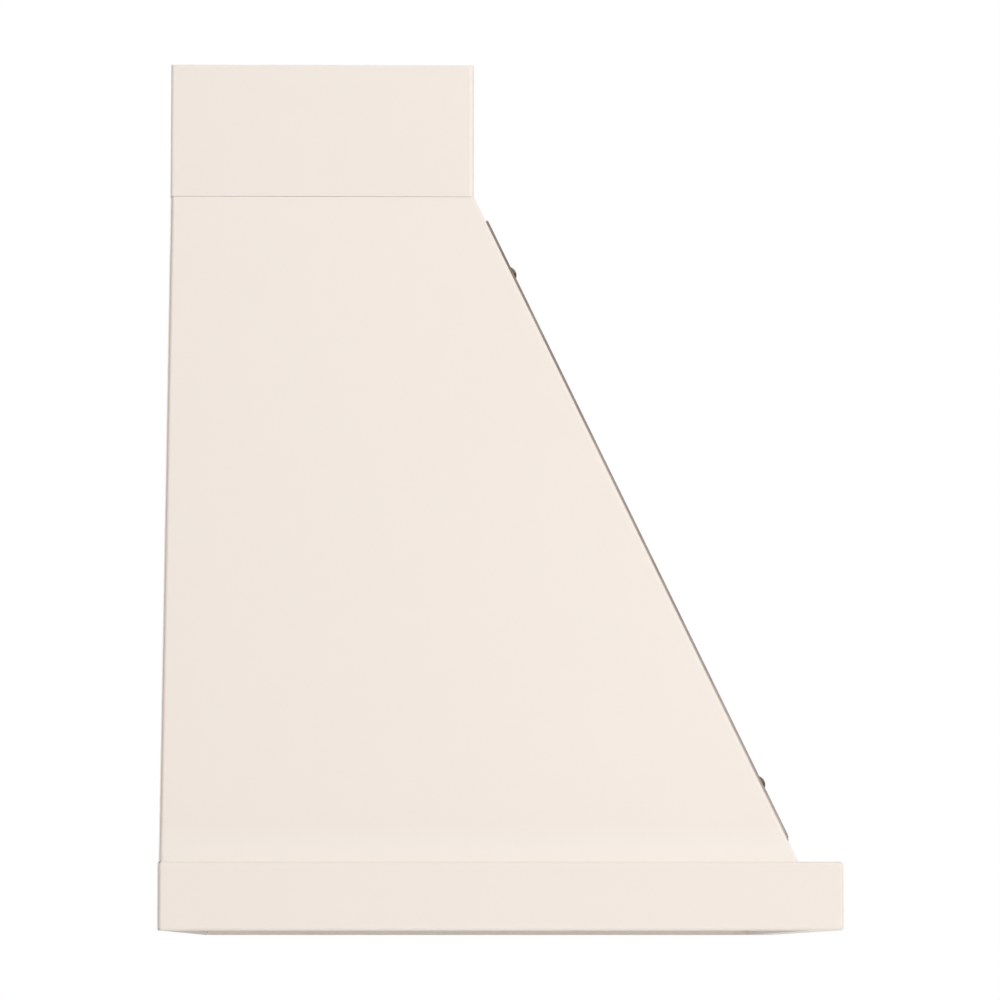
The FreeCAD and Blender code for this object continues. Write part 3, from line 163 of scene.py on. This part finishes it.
# Stainless steel: brushed along the hood's width
BRUSH_SCALE = 60.0
BRUSH_STRETCH = (0.35, 30.0, 30.0)
BRUSH_DEPTH = 0.00003
BRUSH_STRENGTH = 0.35
BRUSH_TONE = (0.42, 0.415, 0.405)
BRUSH_SHARES = (0.0, 0.35)
CLOUD_SCALE = 9.0
STAINLESS_TONES = ((0.56, 0.552, 0.54), (0.64, 0.632, 0.62))
STAINLESS_ROUGHNESS = (0.24, 0.4)

# Polished steel
SMEAR_SCALE = 55.0
POLISHED_TONES = ((0.66, 0.66, 0.655), (0.74, 0.74, 0.735))
POLISHED_ROUGHNESS = (0.09, 0.19)
POLISH_SCALE = 600.0
POLISH_DEPTH = 0.00002
POLISH_STRENGTH = 0.2

# Lamp glass
FROST_SCALE = 900.0
FROST_TONES = ((0.88, 0.88, 0.86), (0.95, 0.95, 0.93))
FROST_ROUGHNESS = (0.22, 0.4)
LENS_CELL_SCALE = 420.0
LENS_CELL_DEPTH = 0.0002
LENS_CELL_STRENGTH = 0.5
CLEAR_SHARE = 0.35
GLASS_IOR = 1.5

# Cast aluminium
CAST_SCALE = 340.0
CAST_TONES = ((0.5, 0.5, 0.505), (0.62, 0.62, 0.625))
CAST_ROUGHNESS = (0.42, 0.6)
CAST_DEPTH = 0.0001
CAST_STRENGTH = 0.4

# Coats and mouldings: dark and light tone, scale of the grain, roughness and depth of the grain
COATS = {
    "motor_paint": ((0.022, 0.022, 0.024), (0.04, 0.04, 0.043), 260.0, 0.42, 0.00006),
    "black_plastic": ((0.012, 0.012, 0.012), (0.022, 0.022, 0.022), 800.0, 0.52, 0.00008),
    "grey_plastic": ((0.4, 0.4, 0.39), (0.46, 0.46, 0.45), 700.0, 0.5, 0.00008),
    "lead_sheath": ((0.018, 0.018, 0.018), (0.03, 0.03, 0.03), 500.0, 0.6, 0.00006),
}
ENAMEL = ((0.01, 0.01, 0.01), (0.02, 0.02, 0.02), 900.0, 0.35, 0.00002)
COAT_ROUGHNESS_SPREAD = 0.06
COAT_STRENGTH = 0.5

# Inlaid marks on the buttons
MARK_DEPTH = 0.00012
MARK_RADIUS = 0.0036
MARK_WIDTH = 0.0009
MARK_PITCH = 0.0022
MARK_WELD_SHARE = 0.1
DOT_RADIUS = 0.0018
RAY_START = 0.0027
RAY_END = 0.0043
RAY_COUNT = 8
MARK_STEPS = 32


class Graph:
    """A node tree that is built from calls, each giving back an output socket."""

    def __init__(self, tree):
        self.tree = tree
        self.tree.nodes.clear()

    def add(self, kind, inputs=(), output=0, **settings):
        node = self.tree.nodes.new(kind)
        for name, value in settings.items():
            setattr(node, name, value)
        for name, value in dict(inputs).items():
            self.feed(node.inputs[name], value)
        return node.outputs[output] if node.outputs else None

    def feed(self, socket, value):
        """Links another socket, or sets a value: a tone gets its full opacity here."""
        if isinstance(value, bpy.types.NodeSocket):
            self.tree.links.new(value, socket)
        elif socket.type == "RGBA":
            socket.default_value = (*value, 1.0)
        else:
            socket.default_value = value

    def place(self, stretch=EVEN):
        """Places on the surface in the part's own frame, stretched along its axes."""
        coordinates = self.add("ShaderNodeTexCoord", output="Object")
        return self.add("ShaderNodeMapping", {"Vector": coordinates, "Scale": stretch})

    def height(self):
        return self.add("ShaderNodeSeparateXYZ", {"Vector": self.place()}, output="Z")

    def noise(self, scale, detail=PLAIN, stretch=EVEN):
        return self.add(
            "ShaderNodeTexNoise", {"Vector": self.place(stretch), "Scale": scale, "Detail": detail})

    def cells(self, scale, output="Color"):
        return self.add("ShaderNodeTexVoronoi", {"Vector": self.place(), "Scale": scale}, output=output)

    def facing(self, direction):
        """How far the surface looks a given way in the part's own frame."""
        normal = self.add("ShaderNodeTexCoord", output="Normal")
        return self.add(
            "ShaderNodeVectorMath", {0: normal, 1: direction}, output="Value", operation="DOT_PRODUCT")

    def spread(self, factor, values, span=NOISE_SPAN):
        """A number that runs between two values as the factor runs through a span."""
        start, end = span
        low, high = values
        return self.add("ShaderNodeMapRange", {
            "Value": factor, "From Min": start, "From Max": end, "To Min": low, "To Max": high})

    def blend(self, factor, first, second):
        """A colour that runs from the first to the second as the factor runs from 0 to 1."""
        sockets = {"Factor": factor, MIX_FIRST: first, MIX_SECOND: second}
        return self.add("ShaderNodeMix", sockets, MIX_RESULT, data_type="RGBA")

    def reckon(self, operation, first, second=0.0):
        return self.add("ShaderNodeMath", {0: first, 1: second}, operation=operation)

    def joined(self, kind, *sources):
        """A node whose inputs, in their order, come from other sockets."""
        return self.add(kind, enumerate(sources))

    def kinds_of_ray(self):
        """1 for the eye's own rays, and 1 for those that come by metal or glass."""
        paths = self.tree.nodes.new("ShaderNodeLightPath").outputs
        shiny = self.reckon("MAXIMUM", paths["Is Glossy Ray"], paths["Is Transmission Ray"])
        return paths["Is Camera Ray"], shiny

    def bump(self, height, depth, strength):
        return self.add("ShaderNodeBump", {"Height": height, "Distance": depth, "Strength": strength})

    def finish(self, **inputs):
        names = {name.replace("_", " "): value for name, value in inputs.items()}
        shader = self.add("ShaderNodeBsdfPrincipled", names)
        self.add("ShaderNodeOutputMaterial", {"Surface": shader})


def new_graph(name):
    material = bpy.data.materials.new(name)
    material.use_nodes = True
    return material, Graph(material.node_tree)


def cream_paint(name, painted_bounce_tone=None):
    """Powder coat with a faint orange peel, a slow drift of tone and, where given, painted bounce light:
    a paler tone along the foot.
    """
    material, graph = new_graph(name)
    colour = graph.blend(graph.noise(PAINT_DRIFT, SMOOTH), *PAINT_TONES)
    if painted_bounce_tone:
        # Painted bounce light: the tone turns paler towards the foot, as if lit from the ledge below
        painted_bounce_share = graph.spread(graph.height(), FALLING, (PANEL_FOOT, PANEL_FOOT + FOOT_REACH))
        colour = graph.blend(painted_bounce_share, colour, painted_bounce_tone)
    graph.finish(
        Base_Color=colour, Roughness=graph.spread(graph.noise(PAINT_ROUGHNESS_SCALE), PAINT_ROUGHNESS),
        Normal=graph.bump(graph.noise(PEEL_SCALE, SMOOTH), PEEL_DEPTH, PEEL_STRENGTH),
        Specular_IOR_Level=PAINT_GLOSS)
    return material


def bronze(name, face_tones, painted_end_tone, metal_share):
    """Oil-rubbed bronze: dark mottled faces, edges paler towards the foot, and ends that take a tone of
    painted light or painted shade.
    """
    material, graph = new_graph(name)
    patina = graph.spread(graph.noise(PATINA_SCALE, MOTTLED), RISING)
    face = graph.blend(patina, *face_tones)
    upper = graph.blend(patina, *UPPER_EDGE_TONES)
    lower = graph.blend(patina, *LOWER_EDGE_TONES)
    # Edges are paler towards the foot
    edge = graph.blend(graph.spread(graph.height(), FALLING, (STRAP_FOOT, STRAP_HEAD)), upper, lower)
    colour = graph.blend(graph.spread(graph.facing(STRAP_FACE), RISING, FACE_SPAN), edge, face)
    # Painted light and shade on the ends: surfaces that look up or down the rise take the painted end
    # tone, outside a band about the lean of the painted glint
    lean = graph.reckon("SUBTRACT", graph.facing(STRAP_RISE), PAINTED_GLINT_LEAN)
    turned = graph.spread(graph.reckon("ABSOLUTE", lean), RISING, END_SPAN)
    rubs = graph.noise(RUB_SCALE, FINE, RUB_STRETCH)
    grain = graph.noise(BRONZE_GRAIN_SCALE, FINE)
    graph.finish(
        Base_Color=graph.blend(turned, colour, painted_end_tone), Metallic=metal_share,
        Roughness=graph.spread(rubs, BRONZE_ROUGHNESS),
        Normal=graph.bump(grain, BRONZE_GRAIN_DEPTH, BRONZE_GRAIN_STRENGTH))
    return material


def galvanised_steel(name, mist_tone=None):
    """Zinc coat with crystal spangle, and paint mist on the side edges where a tone is given."""
    material, graph = new_graph(name)
    spangle = graph.add("ShaderNodeSeparateColor", {"Color": graph.cells(SPANGLE_SCALE)})
    colour = graph.blend(spangle, *ZINC_TONES)
    metal_share = 1.0
    if mist_tone:
        sideways = graph.reckon("ABSOLUTE", graph.facing(SIDEWAYS))
        colour = graph.blend(graph.spread(sideways, RISING, SIDE_EDGE_SPAN), colour, mist_tone)
        metal_share = graph.spread(sideways, FALLING, SIDE_EDGE_SPAN)
    graph.finish(
        Base_Color=colour, Metallic=metal_share, Roughness=graph.spread(spangle, ZINC_ROUGHNESS, RISING),
        Normal=graph.bump(graph.noise(ZINC_WAVE_SCALE), ZINC_WAVE_DEPTH, ZINC_WAVE_STRENGTH))
    return material


def stainless_steel():
    """Brushed sheet with grain along the hood's width."""
    material, graph = new_graph("stainless_steel")
    grain = graph.noise(BRUSH_SCALE, RICH, BRUSH_STRETCH)
    tone = graph.blend(graph.spread(graph.noise(CLOUD_SCALE), RISING), *STAINLESS_TONES)
    graph.finish(
        Base_Color=graph.blend(graph.spread(grain, BRUSH_SHARES), tone, BRUSH_TONE), Metallic=1.0,
        Roughness=graph.spread(grain, STAINLESS_ROUGHNESS),
        Normal=graph.bump(grain, BRUSH_DEPTH, BRUSH_STRENGTH))
    return material


def polished_steel():
    """Bright steel with faint smears."""
    material, graph = new_graph("polished_steel")
    smear = graph.noise(SMEAR_SCALE, FINE)
    graph.finish(
        Base_Color=graph.blend(smear, *POLISHED_TONES), Metallic=1.0,
        Roughness=graph.spread(smear, POLISHED_ROUGHNESS),
        Normal=graph.bump(graph.noise(POLISH_SCALE), POLISH_DEPTH, POLISH_STRENGTH))
    return material


def lamp_glass():
    """Frosted lens with fine cells pressed into it."""
    material, graph = new_graph("lamp_glass")
    frost = graph.noise(FROST_SCALE, SMOOTH)
    cells = graph.cells(LENS_CELL_SCALE, "Distance")
    graph.finish(
        Base_Color=graph.blend(frost, *FROST_TONES), Roughness=graph.spread(frost, FROST_ROUGHNESS),
        Transmission_Weight=CLEAR_SHARE, IOR=GLASS_IOR,
        Normal=graph.bump(cells, LENS_CELL_DEPTH, LENS_CELL_STRENGTH))
    return material


def cast_aluminium():
    """Sand-cast skin with a dull grain."""
    material, graph = new_graph("lamp_aluminium")
    grain = graph.noise(CAST_SCALE, FINE)
    graph.finish(
        Base_Color=graph.blend(grain, *CAST_TONES), Metallic=1.0,
        Roughness=graph.spread(grain, CAST_ROUGHNESS),
        Normal=graph.bump(grain, CAST_DEPTH, CAST_STRENGTH))
    return material


def coated(name, dark, light, scale, rough, depth):
    """A plain coat or moulding with a fine grain of its own."""
    material, graph = new_graph(name)
    grain = graph.noise(scale, FINE)
    roughness = (rough - COAT_ROUGHNESS_SPREAD, rough + COAT_ROUGHNESS_SPREAD)
    graph.finish(
        Base_Color=graph.blend(grain, dark, light), Roughness=graph.spread(grain, roughness),
        Normal=graph.bump(grain, depth, COAT_STRENGTH))
    return material


SLOT_MATERIALS = {
    "cream_paint": cream_paint("cream_paint"),
    # The straps' ends are painted pale, painted light on their shaded end faces
    "bronze": bronze("bronze", STRAP_FACE_TONES, STRAP_PAINTED_LIGHT_TONE, STRAP_METAL_SHARE),
    "galvanised_steel": galvanised_steel("galvanised_steel"),
    "stainless_steel": stainless_steel(),
    "polished_steel": polished_steel(),
    "lamp_glass": lamp_glass(),
    "lamp_aluminium": cast_aluminium(),
}
SLOT_MATERIALS.update({name: coated(name, *look) for name, look in COATS.items()})
NODE_MATERIALS = {
    # The rivets' domes are painted dark above and below, a painted reflection, leaving a painted glint
    # across the middle
    "strap_rivets": bronze("rivet_bronze_painted_glint", RIVET_FACE_TONES, RIVET_PAINTED_SHADE_TONE, RIVET_METAL_SHARE),
    "back_panel": galvanised_steel("back_sheet", PAINT_TONES[1]),
}
# The side panels take the paint with painted bounce light along their foot
NODE_MATERIALS.update(dict.fromkeys(SIDE_PANELS, cream_paint("panel_paint_with_painted_bounce", PAINTED_BOUNCE_TONE)))
for name, item in nodes.items():
    item.data.materials.clear()
    item.data.materials.append(NODE_MATERIALS.get(name, SLOT_MATERIALS[slot_of[name]]))


def circle(radius):
    turns = [math.tau * step / MARK_STEPS for step in range(MARK_STEPS)]
    return [(radius * math.cos(turn), radius * math.sin(turn)) for turn in turns]


def ring(outer_radius, inner_radius):
    """A flat ring as four-sided patches."""
    outer = circle(outer_radius)
    inner = circle(inner_radius)
    return [[outer[step], outer[step - 1], inner[step - 1], inner[step]] for step in range(MARK_STEPS)]


def bar(start, end, turn):
    """A straight bar from one radius to another, turned about the middle."""
    half = MARK_WIDTH / 2
    corners = [(start, -half), (end, -half), (end, half), (start, half)]
    cosine = math.cos(turn)
    sine = math.sin(turn)
    return [(x * cosine - y * sine, x * sine + y * cosine) for x, y in corners]


def bars(count):
    """Upright bars side by side."""
    offsets = [(index - (count - 1) / 2) * MARK_PITCH for index in range(count)]
    upright = bar(-MARK_RADIUS, MARK_RADIUS, math.pi / 2)
    return [[(x + offset, y) for x, y in upright] for offset in offsets]


def rays():
    return [bar(RAY_START, RAY_END, math.tau * index / RAY_COUNT) for index in range(RAY_COUNT)]


MARKS = {
    "off": ring(MARK_RADIUS, MARK_RADIUS - MARK_WIDTH),
    "low": bars(1),
    "medium": bars(2),
    "high": bars(3),
    "light": [circle(DOT_RADIUS)] + rays(),
}


def build_marks():
    """Dark enamel marks on the button faces: a ring for off, bars for speed, a sun for the lamps."""
    enamel = coated("enamel", *ENAMEL)
    for name, patches in MARKS.items():
        low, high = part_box(f"button_{name}")
        middle_x = (low[0] + high[0]) / 2
        middle_y = (low[1] + high[1]) / 2
        shape = bmesh.new()
        for patch in patches:
            corners = [shape.verts.new((middle_x + x, middle_y - y, low[2])) for x, y in patch]
            shape.faces.new(corners)
        bmesh.ops.remove_doubles(shape, verts=shape.verts, dist=MARK_DEPTH * MARK_WELD_SHARE)
        sides = bmesh.ops.extrude_face_region(shape, geom=shape.faces)
        raised = [item for item in sides["geom"] if isinstance(item, bmesh.types.BMVert)]
        bmesh.ops.translate(shape, verts=raised, vec=(0.0, 0.0, -MARK_DEPTH))
        bmesh.ops.recalc_face_normals(shape, faces=shape.faces)
        mesh = bpy.data.meshes.new(f"mark_{name}")
        shape.to_mesh(mesh)
        shape.free()
        mesh.materials.append(enamel)
        mark = bpy.data.objects.new(f"mark_{name}", mesh)
        bpy.context.collection.objects.link(mark)
        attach(mark, f"{name}_button")


def build_stage():
    """A pale floor that shows the shadow, is white to the eye and in metal, and is clear from below."""
    mesh = bpy.data.meshes.new("floor")
    reach = FLOOR_REACH
    corners = [(-reach, -reach), (reach, -reach), (reach, reach), (-reach, reach)]
    mesh.from_pydata([(x, y, FLOOR_LEVEL) for x, y in corners], [], [(0, 1, 2, 3)])
    floor = bpy.data.objects.new("floor", mesh)
    bpy.context.collection.objects.link(floor)
    material, graph = new_graph("floor")
    surface = graph.add("ShaderNodeBsdfDiffuse", {"Color": FLOOR_TONE})
    shade = graph.add("ShaderNodeBsdfDiffuse", {"Color": FLOOR_SHOWN_TONE})
    glow = graph.add("ShaderNodeEmission", {"Color": WHITE, "Strength": FLOOR_GLOW})
    shown = graph.joined("ShaderNodeAddShader", shade, glow)
    seen = graph.reckon("MAXIMUM", *graph.kinds_of_ray())
    behind = graph.add("ShaderNodeNewGeometry", output="Backfacing")
    front = graph.joined("ShaderNodeMixShader", seen, surface, shown)
    both = graph.joined("ShaderNodeMixShader", behind, front, graph.add("ShaderNodeBsdfTransparent"))
    graph.add("ShaderNodeOutputMaterial", {"Surface": both})
    mesh.materials.append(material)


def build_world():
    """White to the eye, dimmer at the wall and in front in reflections, and dimmer still as a lamp."""
    world = bpy.data.worlds.new("studio")
    bpy.context.scene.world = world
    world.use_nodes = True
    graph = Graph(world.node_tree)
    direction = graph.add("ShaderNodeTexCoord", output="Generated")
    toward_wall = graph.add("ShaderNodeSeparateXYZ", {"Vector": direction}, output="Y")
    wall_share = graph.spread(toward_wall, (1.0, WALL_SIDE_SHARE), WALL_SIDE_SPAN)
    front_share = graph.spread(toward_wall, (FRONT_SIDE_SHARE, 1.0), FRONT_SIDE_SPAN)
    open_share = graph.reckon("MULTIPLY", wall_share, front_share)
    lamp_strength = graph.reckon("MULTIPLY", open_share, WORLD_STRENGTH)
    lamp = graph.add("ShaderNodeBackground", {"Color": WHITE, "Strength": lamp_strength})
    mirror = graph.add("ShaderNodeBackground", {"Color": WHITE, "Strength": open_share})
    plain = graph.add("ShaderNodeBackground", {"Color": WHITE, "Strength": 1.0})
    direct, shiny = graph.kinds_of_ray()
    unseen = graph.joined("ShaderNodeMixShader", shiny, lamp, mirror)
    whole = graph.joined("ShaderNodeMixShader", direct, unseen, plain)
    graph.add("ShaderNodeOutputWorld", {"Surface": whole})


def add_lamp(name, place, target, size, power):
    light = bpy.data.lights.new(name, "AREA")
    light.shape = "DISK"
    light.size = size
    light.energy = power
    lamp = bpy.data.objects.new(name, light)
    lamp.location = place
    lamp.rotation_euler = (Vector(target) - Vector(place)).to_track_quat("-Z", "Y").to_euler()
    bpy.context.collection.objects.link(lamp)


def build_camera():
    data = bpy.data.cameras.new("camera")
    data.sensor_width = SENSOR_WIDTH
    data.lens = FOCAL_SHARE * SENSOR_WIDTH
    camera = bpy.data.objects.new("camera", data)
    level = math.cos(CAMERA_PITCH)
    aim = Vector((level * math.cos(CAMERA_YAW), level * math.sin(CAMERA_YAW), math.sin(CAMERA_PITCH)))
    camera.location = CAMERA_PLACE
    camera.rotation_euler = aim.to_track_quat("-Z", "Y").to_euler()
    bpy.context.collection.objects.link(camera)
    bpy.context.scene.camera = camera


build_marks()
build_stage()
build_world()
middle = (cad_box[0] + cad_box[1]) / 2
add_lamp("key", KEY_PLACE, middle, KEY_SIZE, KEY_POWER)
add_lamp("bounce", BOUNCE_PLACE, BOUNCE_AIM, BOUNCE_SIZE, BOUNCE_POWER)
build_camera()
bpy.context.scene.view_settings.view_transform = "Standard"
